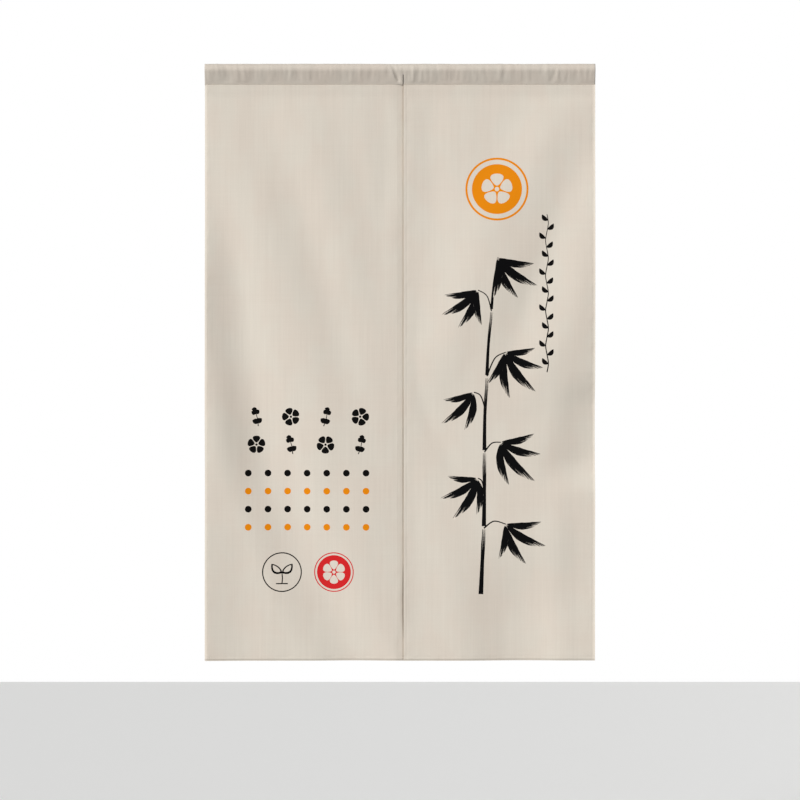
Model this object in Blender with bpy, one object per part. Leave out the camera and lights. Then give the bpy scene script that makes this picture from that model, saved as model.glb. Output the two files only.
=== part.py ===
"""A doorway curtain of two cloth panels that hang from one rod pocket.

The rod's axis runs along X through the origin. +X is to the right of a person who faces the printed
side, -Y points at that person and +Z is up. Sizes are in metres. A drop is a distance below the top
of the rod pocket, and a rise is how far the cloth stands towards the person.
"""

from collections import namedtuple
from math import acos, atan, cos, hypot, pi, sin

import bmesh
import bpy

# The whole curtain
CURTAIN_WIDTH = 0.850
CURTAIN_DROP = 1.300
CLOTH_THICKNESS = 0.0016
PIECE_GAP = 0.0003

# The rod pocket: a circle round the rod, and two sides that meet in the seam
POCKET_RADIUS = 0.013
POCKET_DROP = 0.046
SEAM_HEIGHT = 0.0035
CREASE_HALF_WIDTH = 0.0002
POCKET_STATIONS = 40
POCKET_SIDE_STEPS = 4
POCKET_ARC_STEPS = 12

# The slit between the panels, which also opens the pocket's front layer above the seam
SLIT_X = 0.008
POCKET_SLIT_WIDTH = 0.004
POCKET_SLIT_TOP_DROP = 0.022

# Turned hems: the cloth is thicker there, on its back only
SIDE_HEM = 0.010
BOTTOM_HEM = 0.0105
HEM_STEP = 0.0012
HEM_EXTRA_THICKNESS = 0.0010

# The lap: the right panel's slit edge lies in front of the left panel's
LAP_WIDTH = 0.004
LAP_TOP_CLEARANCE = 0.003
LAP_STAND = 0.0024
LAP_REACH = 0.060
LAP_STAND_DROP = 0.045
LAP_START_DROP = 0.100
LAP_FULL_DROP = 0.220

# The grid of each panel between its hems
PANEL_COLUMNS = 24
PANEL_ROWS = 36

CLOTH_COLOUR = (0.686, 0.624, 0.539, 1.0)
CLOTH_ROUGHNESS = 0.9

# A fold's crest runs through three points, the middle one halfway down between the other two.
# A fold that runs out of the cloth has its end past the edge. A negative rise is a trough.
Fold = namedtuple("Fold", "name top_x top_drop mid_x low_x low_drop half_width rise")
FOLD_FADE = 0.30         # share of its length in which a fold grows or dies out
SEAM_FADE = 0.055        # stretch below the seam in which all folds grow
SLIT_FADE = 0.050        # stretch beside the slit in which all folds die out

LEFT_FOLDS = [
    Fold("edge_roll", -0.474, 0.260, -0.421, -0.368, 0.980, 0.100, 0.0130),
    Fold("deep_trough", -0.410, 0.200, -0.257, 0.221, 1.750, 0.100, -0.0100),
    Fold("broad_ridge", -0.403, 0.060, -0.222, -0.100, 1.100, 0.100, 0.0061),
    Fold("upper_trough", -0.350, 0.030, -0.222, -0.083, 0.645, 0.075, -0.0010),
    Fold("upper_ridge", -0.240, 0.030, -0.145, -0.080, 0.600, 0.085, 0.0044),
    Fold("slit_trough", -0.060, 0.020, -0.022, -0.010, 0.385, 0.060, -0.0022),
    Fold("middle_swell", -0.095, 0.420, -0.072, -0.055, 1.150, 0.080, 0.0018),
    Fold("low_ridge", -0.130, 0.850, -0.075, -0.050, 1.500, 0.075, 0.0014),
    Fold("corner_roll", -0.490, 0.850, -0.480, -0.470, 1.700, 0.160, 0.0115),
]

RIGHT_FOLDS = [
    Fold("upper_ridge", 0.405, 0.000, 0.262, 0.165, 0.640, 0.115, 0.0060),
    Fold("upper_trough", 0.440, 0.040, 0.318, 0.225, 0.600, 0.070, -0.0008),
    Fold("edge_ridge", 0.500, 0.120, 0.405, 0.270, 0.800, 0.115, 0.0088),
    Fold("edge_trough", 0.460, 0.660, 0.430, 0.398, 0.940, 0.120, -0.0130),
    Fold("slit_trough", 0.065, 0.030, 0.068, 0.070, 0.360, 0.050, -0.0018),
    Fold("middle_ridge", 0.190, 0.200, 0.145, 0.095, 0.760, 0.105, 0.0072),
    Fold("between_ridge", 0.285, 0.320, 0.215, 0.178, 0.800, 0.062, 0.0026),
    Fold("cross_trough", 0.000, 0.560, 0.075, 0.175, 1.020, 0.070, -0.0008),
    Fold("cross_crease", 0.030, 0.600, 0.088, 0.280, 1.060, 0.030, -0.0009),
    Fold("cross_ridge", 0.000, 0.760, 0.115, 0.205, 1.450, 0.085, 0.0018),
    Fold("low_trough", 0.255, 1.010, 0.270, 0.276, 1.700, 0.158, -0.0128),
    Fold("low_ridge", 0.335, 0.860, 0.345, 0.350, 1.500, 0.050, 0.0020),
    Fold("corner_trough", 0.425, 0.940, 0.430, 0.435, 1.600, 0.130, -0.0060),
]

# Where the pocket's sides bulge or draw in between the rod and the seam
Gather = namedtuple("Gather", "name x half_width bulge")

GATHERS = [
    Gather("left_end", -0.405, 0.045, -0.0010),
    Gather("left_quarter", -0.250, 0.070, 0.0010),
    Gather("left_of_slit", -0.060, 0.050, -0.0010),
    Gather("right_of_slit", 0.075, 0.060, 0.0010),
    Gather("right_quarter", 0.235, 0.070, -0.0010),
    Gather("right_end", 0.385, 0.050, 0.0010),
]


def clear_scene():
    """Remove whatever the open file holds."""
    for item in list(bpy.data.objects):
        bpy.data.objects.remove(item, do_unlink=True)


def cloth_material(name):
    """Plain woven cloth, greyish beige and dull."""
    material = bpy.data.materials.new(name)
    material.use_nodes = True
    shader = material.node_tree.nodes["Principled BSDF"]
    shader.inputs["Base Color"].default_value = CLOTH_COLOUR
    shader.inputs["Roughness"].default_value = CLOTH_ROUGHNESS
    shader.inputs["Metallic"].default_value = 0.0
    return material


def height_of(drop):
    """World z of a place this far below the pocket's top."""
    return POCKET_RADIUS - drop


def ease(value):
    """Smooth step from 0 to 1."""
    held = min(max(value, 0.0), 1.0)
    return held * held * (3.0 - 2.0 * held)


def hump(distance, half_width):
    """Smooth hump: 1 at the middle, 0 from half_width away."""
    if abs(distance) >= half_width:
        return 0.0
    return cos(0.5 * pi * distance / half_width) ** 2


def add_object(name, bm, material):
    """Turn a bmesh into a smooth-shaded object whose faces point out."""
    bmesh.ops.recalc_face_normals(bm, faces=bm.faces)
    mesh = bpy.data.meshes.new(name)
    bm.to_mesh(mesh)
    bm.free()
    mesh.materials.append(material)
    mesh.shade_smooth()
    made = bpy.data.objects.new(name, mesh)
    bpy.context.scene.collection.objects.link(made)
    return made


def pocket_section(radius, foot_half_width, foot_z):
    """Points (y, z) from the front foot, over the rod, to the back foot."""
    reach = hypot(foot_half_width, foot_z)
    lean = atan(foot_half_width / -foot_z)
    tangent_angle = -0.5 * pi - lean - acos(radius / reach)
    sweep = -2.0 * (pi + tangent_angle) - pi
    arc = []
    for step in range(POCKET_ARC_STEPS + 1):
        angle = tangent_angle + sweep * step / POCKET_ARC_STEPS
        arc.append((radius * cos(angle), radius * sin(angle)))
    side = []
    for step in range(POCKET_SIDE_STEPS):
        along = step / POCKET_SIDE_STEPS
        y = -foot_half_width + (arc[0][0] + foot_half_width) * along
        z = foot_z + (arc[0][1] - foot_z) * along
        side.append((y, z))
    back = [(-y, z) for y, z in reversed(side)]
    return side + arc + back


def gather_bulge(x, z):
    """How far the pocket's sides stand out at this place; nothing at the rod or the seam."""
    seam_z = height_of(POCKET_DROP - SEAM_HEIGHT)
    if not seam_z < z < 0.0:
        return 0.0
    slack = sin(pi * (z - seam_z) / -seam_z)
    return slack * sum(row.bulge * hump(x - row.x, row.half_width) for row in GATHERS)


def build_heading():
    """The rod pocket: a sleeve open at both ends, slit at the middle of its front layer."""
    outer = pocket_section(POCKET_RADIUS, CLOTH_THICKNESS, height_of(POCKET_DROP))
    inner = pocket_section(
        POCKET_RADIUS - CLOTH_THICKNESS, CREASE_HALF_WIDTH, height_of(POCKET_DROP - SEAM_HEIGHT)
    )
    bm = bmesh.new()
    rings = []
    for station in range(POCKET_STATIONS + 1):
        x = CURTAIN_WIDTH * (station / POCKET_STATIONS - 0.5)
        ring = []
        for section in (outer, inner):
            for y, z in section:
                bulge = gather_bulge(x, z)
                ring.append(bm.verts.new((x, y - bulge if y < 0 else y + bulge, z)))
        rings.append(ring)
    count = len(outer)
    for first, second in zip(rings, rings[1:]):
        for start in (0, count):
            for index in range(count):
                here = start + index
                after = start + (index + 1) % count
                bm.faces.new((first[here], first[after], second[after], second[here]))
    for ring in (rings[0], rings[-1]):
        for index in range(count):
            after = (index + 1) % count
            bm.faces.new((ring[index], ring[after], ring[count + after], ring[count + index]))
    heading = add_object("heading", bm, cloth_material("heading_cloth"))
    cut_pocket_slit(heading)
    return heading


def cut_pocket_slit(heading):
    """Open the front layer and the front half of the seam, just left of the right panel's edge."""
    top = height_of(POCKET_SLIT_TOP_DROP)
    bottom = height_of(POCKET_DROP) - CLOTH_THICKNESS
    depth = 2.0 * POCKET_RADIUS
    middle_x = SLIT_X - 0.5 * POCKET_SLIT_WIDTH
    bpy.ops.mesh.primitive_cube_add(size=1.0, location=(middle_x, -0.5 * depth, 0.5 * (top + bottom)))
    cutter = bpy.context.object
    cutter.name = "pocket_slit_cutter"
    cutter.scale = (POCKET_SLIT_WIDTH, depth, top - bottom)
    cutter.hide_render = True
    cutter.display_type = "WIRE"
    cut = heading.modifiers.new("pocket_slit", "BOOLEAN")
    cut.operation = "DIFFERENCE"
    cut.solver = "EXACT"
    cut.object = cutter


def fold_rise(fold, x, drop):
    """How far one fold lifts the cloth at this place."""
    along = (drop - fold.top_drop) / (fold.low_drop - fold.top_drop)
    if not 0.0 < along < 1.0:
        return 0.0
    top_share = (2.0 * along - 1.0) * (along - 1.0)
    mid_share = 4.0 * along * (1.0 - along)
    low_share = along * (2.0 * along - 1.0)
    crest_x = fold.top_x * top_share + fold.mid_x * mid_share + fold.low_x * low_share
    slant = (
        fold.top_x * (4.0 * along - 3.0)
        + fold.mid_x * (4.0 - 8.0 * along)
        + fold.low_x * (4.0 * along - 1.0)
    ) / (fold.low_drop - fold.top_drop)
    across = (x - crest_x) * cos(atan(slant))
    fade = ease(along / FOLD_FADE) * ease((1.0 - along) / FOLD_FADE)
    return fold.rise * fade * hump(across, fold.half_width)


def lap_stand(x, drop):
    """How far the slit edges stand apart from the curtain's plane, before the side is known."""
    growth = ease((drop - POCKET_DROP) / LAP_STAND_DROP)
    return LAP_STAND * growth * hump(x - SLIT_X, LAP_REACH)


def left_slit_edge(drop):
    """The left panel's slit edge: clear of the right panel at the top, behind it lower down."""
    lapped = ease((drop - LAP_START_DROP) / (LAP_FULL_DROP - LAP_START_DROP))
    return SLIT_X - LAP_TOP_CLEARANCE + (LAP_TOP_CLEARANCE + LAP_WIDTH) * lapped


def near_slit_fade(x):
    """Folds die out at the slit, so that the lapped edges keep their clearance."""
    return ease(abs(x - SLIT_X) / SLIT_FADE)


def panel_rise(x, drop, folds, stand_sign):
    """How far the middle of the panel's cloth stands towards the viewer."""
    growth = ease((drop - POCKET_DROP) / SEAM_FADE)
    folded = sum(fold_rise(fold, x, drop) for fold in folds)
    return folded * growth * near_slit_fade(x) + stand_sign * lap_stand(x, drop)


def hem_thickness(edge_distance, hem):
    """Cloth thickness this far from an edge with a hem of this width."""
    turned = 1.0 - min(max((edge_distance - hem) / HEM_STEP, 0.0), 1.0)
    return CLOTH_THICKNESS + HEM_EXTRA_THICKNESS * turned


def hem_spaced(start, end, hem_at_start, hem_at_end, count):
    """Grid places from start to end, with one at each edge of the hems' steps."""
    places = [start]
    inner_start, inner_end = start, end
    if hem_at_start:
        inner_start = start + hem_at_start + HEM_STEP
        places += [start + hem_at_start, inner_start]
    if hem_at_end:
        inner_end = end - hem_at_end - HEM_STEP
    for step in range(1, count):
        places.append(inner_start + (inner_end - inner_start) * step / count)
    if hem_at_end:
        places += [inner_end, end - hem_at_end]
    return places + [end]


def build_panel(name, edges_at, folds, stand_sign):
    """One hanging panel: a closed sheet between its two edges, from the seam to the hem."""
    drops = hem_spaced(POCKET_DROP + PIECE_GAP, CURTAIN_DROP, 0.0, BOTTOM_HEM, PANEL_ROWS)
    bm = bmesh.new()
    fronts, backs = [], []
    for drop in drops:
        left, right = edges_at(drop)
        front, back = [], []
        for x in hem_spaced(left, right, SIDE_HEM, SIDE_HEM, PANEL_COLUMNS):
            thickness = max(
                hem_thickness(min(x - left, right - x), SIDE_HEM),
                hem_thickness(CURTAIN_DROP - drop, BOTTOM_HEM),
            )
            y = -panel_rise(x, drop, folds, stand_sign) - 0.5 * CLOTH_THICKNESS
            front.append(bm.verts.new((x, y, height_of(drop))))
            back.append(bm.verts.new((x, y + thickness, height_of(drop))))
        fronts.append(front)
        backs.append(back)
    for grid in (fronts, backs):
        for upper, lower in zip(grid, grid[1:]):
            for column in range(len(upper) - 1):
                bm.faces.new((upper[column], lower[column], lower[column + 1], upper[column + 1]))
    front_rim = rim_of(fronts)
    back_rim = rim_of(backs)
    for index in range(len(front_rim)):
        after = (index + 1) % len(front_rim)
        bm.faces.new((front_rim[index], front_rim[after], back_rim[after], back_rim[index]))
    return add_object(name, bm, cloth_material(name + "_cloth"))


def rim_of(grid):
    """The grid's border vertices, in order round it."""
    right = [row[-1] for row in grid[1:-1]]
    left = [row[0] for row in reversed(grid[1:-1])]
    return grid[0] + right + list(reversed(grid[-1])) + left


def left_edges(drop):
    return -0.5 * CURTAIN_WIDTH, left_slit_edge(drop)


def right_edges(drop):
    return SLIT_X, 0.5 * CURTAIN_WIDTH


def main():
    clear_scene()
    build_heading()
    build_panel("panel_left", left_edges, LEFT_FOLDS, -1.0)
    build_panel("panel_right", right_edges, RIGHT_FOLDS, 1.0)


main()
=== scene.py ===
"""The looks of a two-panel doorway curtain: its cloth, hems, stitches and print.

Sizes are in metres. +X is to the right of a person who faces the printed side, -Y points at that person
and +Z is up. A drop is a distance below the top of the rod pocket, and a rise is how far the cloth stands
towards the person. Print is laid out on the cloth's own plane, as (x, -drop).
"""

from collections import namedtuple
from math import acos, atan, cos, hypot, pi, sin

import bpy
import numpy as np
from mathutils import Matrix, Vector, noise
from mathutils.geometry import delaunay_2d_cdt


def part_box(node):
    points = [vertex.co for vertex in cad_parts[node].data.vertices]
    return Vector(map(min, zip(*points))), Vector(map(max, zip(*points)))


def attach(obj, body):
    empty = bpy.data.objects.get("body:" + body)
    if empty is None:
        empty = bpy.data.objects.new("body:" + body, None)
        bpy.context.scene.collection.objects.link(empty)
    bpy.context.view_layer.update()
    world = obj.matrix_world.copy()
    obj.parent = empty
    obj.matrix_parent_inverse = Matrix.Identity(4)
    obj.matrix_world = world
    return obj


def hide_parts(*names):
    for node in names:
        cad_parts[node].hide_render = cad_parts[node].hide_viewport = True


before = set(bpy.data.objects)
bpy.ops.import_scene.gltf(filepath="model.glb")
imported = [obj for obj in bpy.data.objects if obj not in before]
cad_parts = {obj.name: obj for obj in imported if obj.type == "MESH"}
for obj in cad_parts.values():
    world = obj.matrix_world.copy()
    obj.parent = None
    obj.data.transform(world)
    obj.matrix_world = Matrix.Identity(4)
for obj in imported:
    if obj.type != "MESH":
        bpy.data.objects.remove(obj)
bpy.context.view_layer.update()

heading_low, heading_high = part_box("heading")
left_low, left_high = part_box("panel_left")
right_low, right_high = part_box("panel_right")

# The curtain, from the frame
CURTAIN_WIDTH = heading_high[0] - heading_low[0]
TOP_Z = heading_high[2]
POCKET_RADIUS = TOP_Z
POCKET_DROP = TOP_Z - heading_low[2]
CURTAIN_DROP = TOP_Z - right_low[2]
SLIT_X = right_low[0]
LEFT_EDGE_X = left_low[0]
LEFT_SLIT_X = left_high[0]
RIGHT_EDGE_X = right_high[0]

# Cloth
CLOTH_THICKNESS = 0.0008
HEM_EXTRA_THICKNESS = 0.001
HEM_STEP_WIDTH = 0.001
RIM_SHARE = 0.85
FOLD_FADE = 0.3

# How the cloth departs from its main folds at the slit and at the outer edges
LAP_STAND = 0.0011
LAP_REACH = 0.035
SLIT_LIP = 0.0006
SLIT_LIP_REACH = 0.01
SLIT_ROLL = 0.0018
SLIT_ROLL_START = 0.0032
SLIT_ROLL_END = -0.0016
SLIT_DROOP = 0.0016
SLIT_DROOP_REACH = 0.014
TOP_DROOP = 0.0024
TOP_DROOP_REACH = 0.06
TOP_DROOP_DROP = 0.17
TOP_DROOP_HALF = 0.15
LEFT_CURL = 0.0022
LEFT_CURL_REACH = 0.0072
RIGHT_CURL = 0.0018
RIGHT_CURL_REACH = 0.0042

# Where the slit parts: how deep, at which drop, and how far above and below it
SLIT_PARTINGS = [(0.008, 1.17, 0.092), (0.0012, 0.88, 0.26)]
RIGHT_PARTING_SHARE = 0.1
RIGHT_PARTING_REACH = 0.6 * LAP_REACH

# Uneven cloth: the depth of each noise, the length of its waves across and down, and its seed
SLACK_WAVES = [(0.00055, 0.07, 0.16, 3.7), (0.00025, 0.028, 0.075, 8.7)]
SLACK_START = 0.02
PUCKER_WAVES = [(0.0005, 0.016, 0.016, 14.7)]
PUCKER_REACH = 0.012

# The panels' start at the pocket's seam
SEAM_TUCK = 0.0004
SEAM_STAND = 0.0019
SEAM_STAND_REACH = 0.03
SEAM_RIDGE = 0.00045
SEAM_RIDGE_DROP = 0.0012
SEAM_RIDGE_HALF = 0.0012
SEAM_PUCKER_SHARE = 0.6
SEAM_PUCKER_REACH = 2.2 * PUCKER_REACH
SEAM_FADE = 0.055
SLIT_FADE = 0.05

# Hems and their stitches
BOTTOM_HEM = 0.0105
PRESS_INSET = 0.0011
PRESS_HALF_WIDTH = 0.0032
PRESS_DEPTH = 0.0015
GROOVE_HALF_WIDTH = 0.0016
GROOVE_DEPTH = 0.00018
STITCH_INSET = 0.0015
STITCH_START = 0.002
STITCH_PITCH = 0.0033
STITCH_LENGTH = 0.0025
STITCH_RADIUS = 0.00022
STITCH_FLATNESS = 0.8
STITCH_SIDES = 6
# A stitch's rings: place along it, size, and height above the cloth in thread radii
STITCH_RINGS = [(0, 0.35, -0.3), (0.15, 0.85, 0.35), (0.5, 1, 0.75), (0.85, 0.85, 0.35), (1, 0.35, -0.3)]

# Grid lines: the usual cell, distances from the seam and a hem's edges, the slit's roll, the least gap
CELL = 0.005
SEAM_PLACES = [0.0, 0.0004, 0.0008, 0.0012, 0.0016, 0.002, 0.0026, 0.0036, 0.005]
HEM_OUTER_PLACES = [0.0, 0.00012, 0.00045, 0.0009, 0.0018, 0.0027, 0.0036, 0.0045]
HEM_INNER_PLACES = [0.0004, 0.0012]
ROLL_STEP = 0.0007
ROLL_STEPS = 8
LEAST_GAP = 0.0001

# The rod pocket
SEAM_HEIGHT = 0.0035
FOOT_HALF_WIDTH = 0.0015
CREASE_HALF_WIDTH = 0.0002
POCKET_CLOTH = 0.0011
POCKET_STEP = 0.0024
POCKET_SIDE_STEPS = 16
POCKET_ARC_STEPS = 30
POCKET_FINE_LEFT = 0.03
POCKET_FINE_RIGHT = 0.045
POCKET_WAVES = [(0.0014, 0.045, 0.08, 2.3), (0.0011, 0.013, 0.045, 6.3), (0.0007, 0.0055, 0.026, 10.3)]
POCKET_LEAST_RELIEF = 0.35
POCKET_SIDE_TOP = 0.75 * POCKET_RADIUS
BACK_NOISE_SHIFT = 0.3
POCKET_SLIT_WIDTH = 0.0019
POCKET_SLIT_SHIFT = -0.0011
POCKET_SLIT_TOP_DROP = 0.022
POCKET_STITCH_HEIGHT = 0.0018
POCKET_SIDE_LEAN = (13.0 - 1.5) / 33.0
POCKET_STITCH_END_GAP = 0.003
POCKET_STITCH_SLIT_GAP = 0.004

# The photograph's view: its scale, the cloth's middle and top in it, and its centre
METRES_PER_PIXEL = 0.002178
FRAME_PIXELS = 800
MIDDLE_PX = 400.1
TOP_PY = 63.7
VIEW_CENTRE_BELOW_MIDDLE = 0.082
CAMERA_DISTANCE = 7.0
SENSOR_WIDTH = 36.0

# A fold's crest runs through three points, the middle one halfway down between the other two: top x and
# drop, middle x, low x and drop, then the fold's half width and its rise. A fold that runs out of the
# cloth has its end past the edge. A negative rise is a trough.

LEFT_FOLDS = [
    (-0.474, 0.26, -0.421, -0.368, 0.98, 0.1, 0.013),
    (-0.41, 0.2, -0.257, 0.221, 1.75, 0.1, -0.01),
    (-0.403, 0.06, -0.222, -0.1, 1.1, 0.1, 0.0061),
    (-0.35, 0.03, -0.222, -0.083, 0.645, 0.075, -0.001),
    (-0.24, 0.03, -0.145, -0.08, 0.6, 0.085, 0.0044),
    (-0.06, 0.02, -0.022, -0.01, 0.385, 0.06, -0.0022),
    (-0.095, 0.42, -0.072, -0.055, 1.15, 0.08, 0.0018),
    (-0.13, 0.85, -0.075, -0.05, 1.5, 0.075, 0.0014),
    (-0.49, 0.85, -0.48, -0.47, 1.7, 0.16, 0.0115),
]

RIGHT_FOLDS = [
    (0.405, 0.000, 0.262, 0.165, 0.64, 0.115, 0.006),
    (0.44, 0.04, 0.318, 0.225, 0.6, 0.07, -0.0008),
    (0.5, 0.12, 0.405, 0.27, 0.8, 0.115, 0.0088),
    (0.46, 0.66, 0.43, 0.398, 0.94, 0.12, -0.013),
    (0.065, 0.03, 0.068, 0.07, 0.36, 0.05, -0.0018),
    (0.19, 0.2, 0.145, 0.095, 0.76, 0.105, 0.0072),
    (0.285, 0.32, 0.215, 0.178, 0.8, 0.062, 0.0026),
    (0.000, 0.56, 0.075, 0.175, 1.02, 0.07, -0.0008),
    (0.03, 0.6, 0.088, 0.28, 1.06, 0.03, -0.0009),
    (0.000, 0.76, 0.115, 0.205, 1.45, 0.085, 0.0018),
    (0.255, 1.01, 0.27, 0.276, 1.7, 0.158, -0.0128),
    (0.335, 0.86, 0.345, 0.35, 1.5, 0.05, 0.002),
    (0.425, 0.94, 0.43, 0.435, 1.6, 0.13, -0.006),
]

# Creases of the pocket's front, from the rod down to the seam: top x, foot x, half width and rise

POCKET_CREASES = [
    (-0.0175, -0.001, 0.0078, -0.003),
    (-0.0085, 0.004, 0.005, 0.0003),
    (0.033, 0.029, 0.011, 0.0013),
    (0.0445, 0.0385, 0.0095, -0.0005),
    (-0.23, -0.216, 0.009, -0.0012),
    (-0.38, -0.368, 0.01, -0.0014),
    (-0.36, -0.352, 0.009, 0.001),
    (0.172, 0.185, 0.01, 0.0012),
    (0.342, 0.33, 0.009, -0.0014),
]

Panel = namedtuple("Panel", "name node left right folds stand_sign left_hem right_hem")

PANELS = [
    Panel("left", "panel_left", LEFT_EDGE_X, LEFT_SLIT_X, LEFT_FOLDS, -1.0, 0.008, 0.0175),
    Panel("right", "panel_right", SLIT_X, RIGHT_EDGE_X, RIGHT_FOLDS, 1.0, 0.0085, 0.008),
]


def height_of(drop):
    """World z of a place this far below the pocket's top."""
    return TOP_Z - drop


def ease(value):
    """Smooth step from 0 to 1."""
    held = np.clip(value, 0.0, 1.0)
    return held * held * (3.0 - 2.0 * held)


def hump(distance, half_width):
    """Smooth hump: 1 at the middle, 0 from half_width away."""
    share = np.clip(np.abs(distance) / half_width, 0.0, 1.0)
    return np.cos(0.5 * pi * share) ** 2


def curl(depth, distance, reach):
    """An edge's curl: full depth at the edge, none from reach away."""
    return depth * np.clip(1.0 - distance / reach, 0.0, 1.0) ** 2


def uneven(points, waves):
    """Smooth noise at each of the points, from a table of waves."""
    return sum(
        depth * np.array([noise.noise(Vector((x / across, d / down, seed))) for x, d in points])
        for depth, across, down, seed in waves
    )


# Cloth shape

def fold_rise(fold, x, drop):
    """How far one fold lifts the cloth at these places."""
    top_x, top_drop, mid_x, low_x, low_drop, half_width, rise = fold
    length = low_drop - top_drop
    along = (drop - top_drop) / length
    top_share = (2.0 * along - 1.0) * (along - 1.0)
    mid_share = 4.0 * along * (1.0 - along)
    low_share = along * (2.0 * along - 1.0)
    crest_x = top_x * top_share + mid_x * mid_share + low_x * low_share
    turned = top_x * (4.0 * along - 3.0) + mid_x * (4.0 - 8.0 * along) + low_x * (4.0 * along - 1.0)
    slant = turned / length
    across = (x - crest_x) / np.sqrt(1.0 + slant * slant)
    fade = ease(along / FOLD_FADE) * ease((1.0 - along) / FOLD_FADE)
    return rise * fade * hump(across, half_width)


def slit_roll(panel, x, drop):
    """The left panel's edge rolls back behind the right one's, most where the slit parts near the hem."""
    parting = sum(depth * hump(drop - middle, half) for depth, middle, half in SLIT_PARTINGS)
    past = x - SLIT_X
    if panel.stand_sign > 0.0:
        follow = RIGHT_PARTING_SHARE * parting * hump(past, RIGHT_PARTING_REACH)
        return follow + curl(SLIT_LIP, past, SLIT_LIP_REACH)
    share = ease((past + SLIT_ROLL_START) / (SLIT_ROLL_START - SLIT_ROLL_END))
    droop = SLIT_DROOP * ease((past + SLIT_DROOP_REACH) / SLIT_DROOP_REACH)
    upper = TOP_DROOP * ease((past + TOP_DROOP_REACH) / TOP_DROOP_REACH)
    upper = upper * hump(drop - TOP_DROOP_DROP, TOP_DROOP_HALF)
    return -(SLIT_ROLL + parting) * share - droop - upper


def panel_rise(panel, x, drop):
    """How far the middle of the panel's cloth stands out, main folds and edges only."""
    folded = sum(fold_rise(fold, x, drop) for fold in panel.folds)
    growth = ease((drop - POCKET_DROP) / SEAM_FADE) * ease(np.abs(x - SLIT_X) / SLIT_FADE)
    lap = panel.stand_sign * LAP_STAND * hump(x - SLIT_X, LAP_REACH)
    left_curl = curl(LEFT_CURL, x - LEFT_EDGE_X, LEFT_CURL_REACH)
    right_curl = curl(RIGHT_CURL, RIGHT_EDGE_X - x, RIGHT_CURL_REACH)
    return folded * growth + lap + slit_roll(panel, x, drop) - left_curl + right_curl


def stitch_places(panel):
    """Where the panel's stitch lines run: x of the left and the right one, drop of the bottom one."""
    left_x = panel.left + panel.left_hem - STITCH_INSET
    right_x = panel.right - panel.right_hem + STITCH_INSET
    return left_x, right_x, CURTAIN_DROP - BOTTOM_HEM + STITCH_INSET


def fine_rise(panel, x, drop):
    """Small relief: slack cloth, puckers along the hems, grooves at the stitches, the seam's stand."""
    points = np.stack([x, drop], axis=-1)
    seam_distance = drop - POCKET_DROP
    total = uneven(points, SLACK_WAVES) * ease(seam_distance / SLACK_START)
    pucker = uneven(points, PUCKER_WAVES)
    left_x, right_x, bottom_drop = stitch_places(panel)
    for distance in (x - left_x, right_x - x, bottom_drop - drop):
        total = total + pucker * hump(distance, PUCKER_REACH)
        total = total - GROOVE_DEPTH * hump(distance, GROOVE_HALF_WIDTH)
    total = total + SEAM_PUCKER_SHARE * pucker * hump(seam_distance, SEAM_PUCKER_REACH)
    total = total + SEAM_STAND * (1.0 - ease(seam_distance / SEAM_STAND_REACH))
    total = total + SEAM_RIDGE * hump(seam_distance - SEAM_RIDGE_DROP, SEAM_RIDGE_HALF)
    return total - PRESS_DEPTH * hump(CURTAIN_DROP - PRESS_INSET - drop, PRESS_HALF_WIDTH)


def surface_rise(panel, x, drop):
    return panel_rise(panel, x, drop) + fine_rise(panel, x, drop)


def cloth_thickness(panel, x, drop):
    """One layer, or the turned hem's layers near an edge."""
    left_inner = panel.left + panel.left_hem - x
    right_inner = x - panel.right + panel.right_hem
    inner = np.maximum(np.maximum(left_inner, right_inner), drop - CURTAIN_DROP + BOTTOM_HEM)
    return CLOTH_THICKNESS + HEM_EXTRA_THICKNESS * ease(0.5 + inner / HEM_STEP_WIDTH)


def hem_places(hem):
    """Distances from a hemmed edge at which the grid needs a line."""
    groove = [hem - STITCH_INSET + share * GROOVE_HALF_WIDTH for share in (-1.0, -0.5, 0.0, 0.5)]
    return HEM_OUTER_PLACES + groove + [hem + place for place in HEM_INNER_PLACES]


def slit_places(hem):
    """The left panel's grid lines by the slit, close together where its edge rolls back."""
    roll_start = LEFT_SLIT_X - SLIT_X + SLIT_ROLL_END
    places = sorted(hem_places(hem) + [roll_start + ROLL_STEP * step for step in range(ROLL_STEPS)])
    return places[:1] + [place for before, place in zip(places, places[1:]) if place - before > LEAST_GAP]


def grid_lines(start, end, start_places, end_places):
    """Grid lines from start to end: close together in the hems, evenly spaced between."""
    first = [start + place for place in start_places]
    last = [end - place for place in reversed(end_places)]
    count = max(round((last[0] - first[-1]) / CELL), 1)
    step = (last[0] - first[-1]) / count
    middle = [first[-1] + step * index for index in range(1, count)]
    return np.array(first + middle + last)


# Print: shapes are rings of points (x, -drop) with an ink, painted in order

Shape = namedtuple("Shape", "ink rings base tip half_width")
INK_TONES = {
    "black": (0.003, 0.0028, 0.0025, 1.0),
    "brush": (0.0025, 0.0025, 0.0028, 1.0),
    "orange": (0.77, 0.24, 0.004, 1.0),
    "red": (0.62, 0.02, 0.022, 1.0),
}
INKS = ["bare", *INK_TONES]
UPRIGHT = 0.5 * pi


def from_photo(px, py):
    """A place (x, -drop) on the cloth from its pixel in the photograph."""
    return METRES_PER_PIXEL * np.array([px - MIDDLE_PX, TOP_PY - py])


def plain(ink, *rings):
    return Shape(ink, [np.array(ring) for ring in rings], None, None, None)


def circle(centre, radius, steps):
    angles = 2.0 * pi * np.arange(steps) / steps
    return centre + radius * np.stack([np.cos(angles), np.sin(angles)], axis=-1)


def thin_ring(ink, centre, radius, line):
    return plain(ink, circle(centre, radius, 72), circle(centre, radius - line, 72))


# The highest value that t ** 0.8 * (1 - t) ** 0.9, a leaf's outline, reaches
LEAF_PEAK = (0.8 / 1.7) ** 0.8 * (0.9 / 1.7) ** 0.9


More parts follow.
